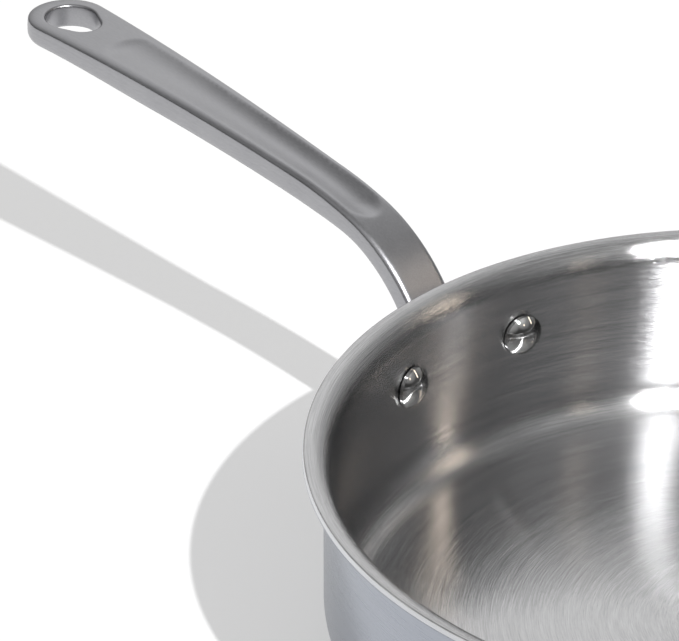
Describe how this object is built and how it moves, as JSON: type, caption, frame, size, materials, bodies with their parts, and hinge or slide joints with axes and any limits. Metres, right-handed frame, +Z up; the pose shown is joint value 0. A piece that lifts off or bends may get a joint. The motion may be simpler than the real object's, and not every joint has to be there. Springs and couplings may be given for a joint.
{
  "type": "saute pan",
  "caption": "Straight-sided saute pan of clad stainless steel, with a flared pouring lip and a long riveted cast handle with a thumb scoop and a hanging hole.",
  "frame": {"origin": "centre of the base's underside, on the pan's own axis", "axes": "+Z up, out of the open top; +X out along the handle; +Y completes the right-handed frame"},
  "size_m": [0.477, 0.28, 0.0973],
  "materials": {
    "cooking_surface": "stainless steel, finely brushed round the bowl",
    "core": "plain aluminium, seen only at the lip's cut edge",
    "exterior": "magnetic stainless steel, satin brushed round the bowl",
    "handle": "cast stainless steel, fine satin",
    "rivet": "stainless steel, polished domed heads"
  },
  "bodies": {
    "root": {"cooking_surface_ply": "cooking_surface", "aluminium_core_ply": "core", "outer_steel_ply": "exterior", "handle": "handle", "rivet_left": "rivet", "rivet_right": "rivet"}
  },
  "joints": []
}
